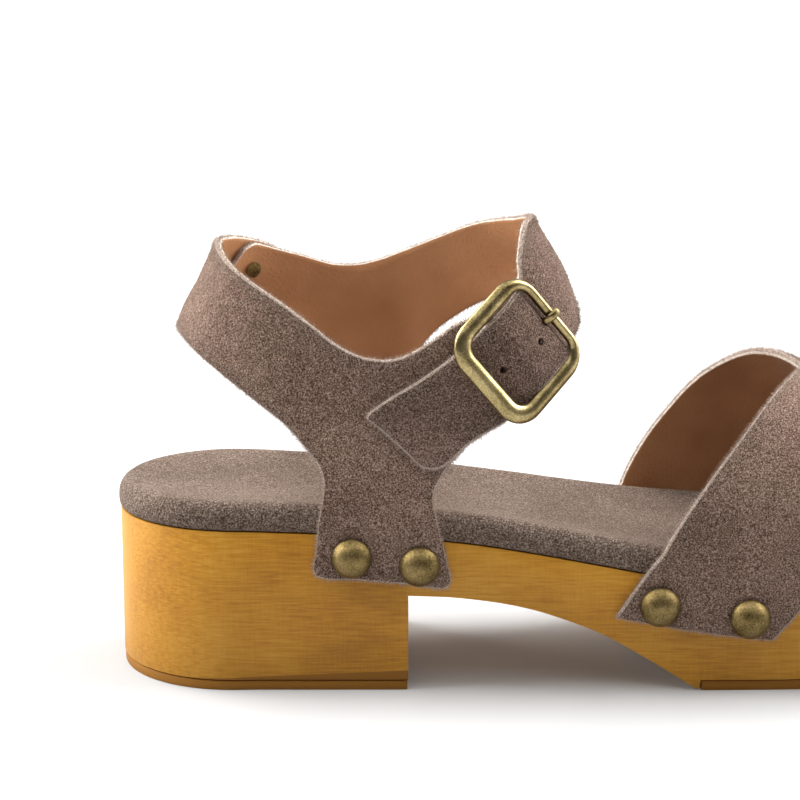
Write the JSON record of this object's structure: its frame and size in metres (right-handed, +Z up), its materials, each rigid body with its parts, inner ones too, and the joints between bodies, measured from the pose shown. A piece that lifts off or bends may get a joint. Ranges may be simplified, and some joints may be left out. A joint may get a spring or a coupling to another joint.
{
  "type": "clog sandal",
  "caption": "Right clog sandal with a heeled wooden sole, padded footbed, crossed suede vamp bands nailed to the wood, and an ankle collar closed by a buckled strap.",
  "frame": {"origin": "on the floor, under the middle of the shoe's bounding box", "axes": "+X from heel to toe, +Y to the inner side of the foot, +Z up"},
  "size_m": [0.257, 0.0988, 0.1274],
  "materials": {
    "wood": "honey-coloured lacquer over fine lengthwise grain",
    "rubber": "smooth brown rubber, satin",
    "suede": "taupe suede with a tan smooth lining and pale cut edges",
    "suede_footbed": "taupe suede over a padded footbed",
    "brass": "antique brass, slightly darkened"
  },
  "bodies": {
    "root": {"wooden_sole": "wood", "heel_lift": "rubber", "forefoot_sole": "rubber", "footbed": "suede_footbed", "vamp_bands": "suede", "quarter_lateral": "suede", "quarter_medial": "suede", "buckle_frame": "brass", "buckle_prong": "brass", "buckle_rivet": "brass", "heel_rivet_upper": "brass", "heel_rivet_lower": "brass", "stud_quarter_lateral_rear": "brass", "stud_quarter_lateral_front": "brass", "stud_quarter_medial_rear": "brass", "stud_quarter_medial_front": "brass", "stud_vamp_lateral_1": "brass", "stud_vamp_lateral_2": "brass", "stud_vamp_lateral_3": "brass", "stud_vamp_lateral_4": "brass", "stud_vamp_medial_1": "brass", "stud_vamp_medial_2": "brass", "stud_vamp_medial_3": "brass", "stud_vamp_medial_4": "brass"}
  },
  "joints": []
}
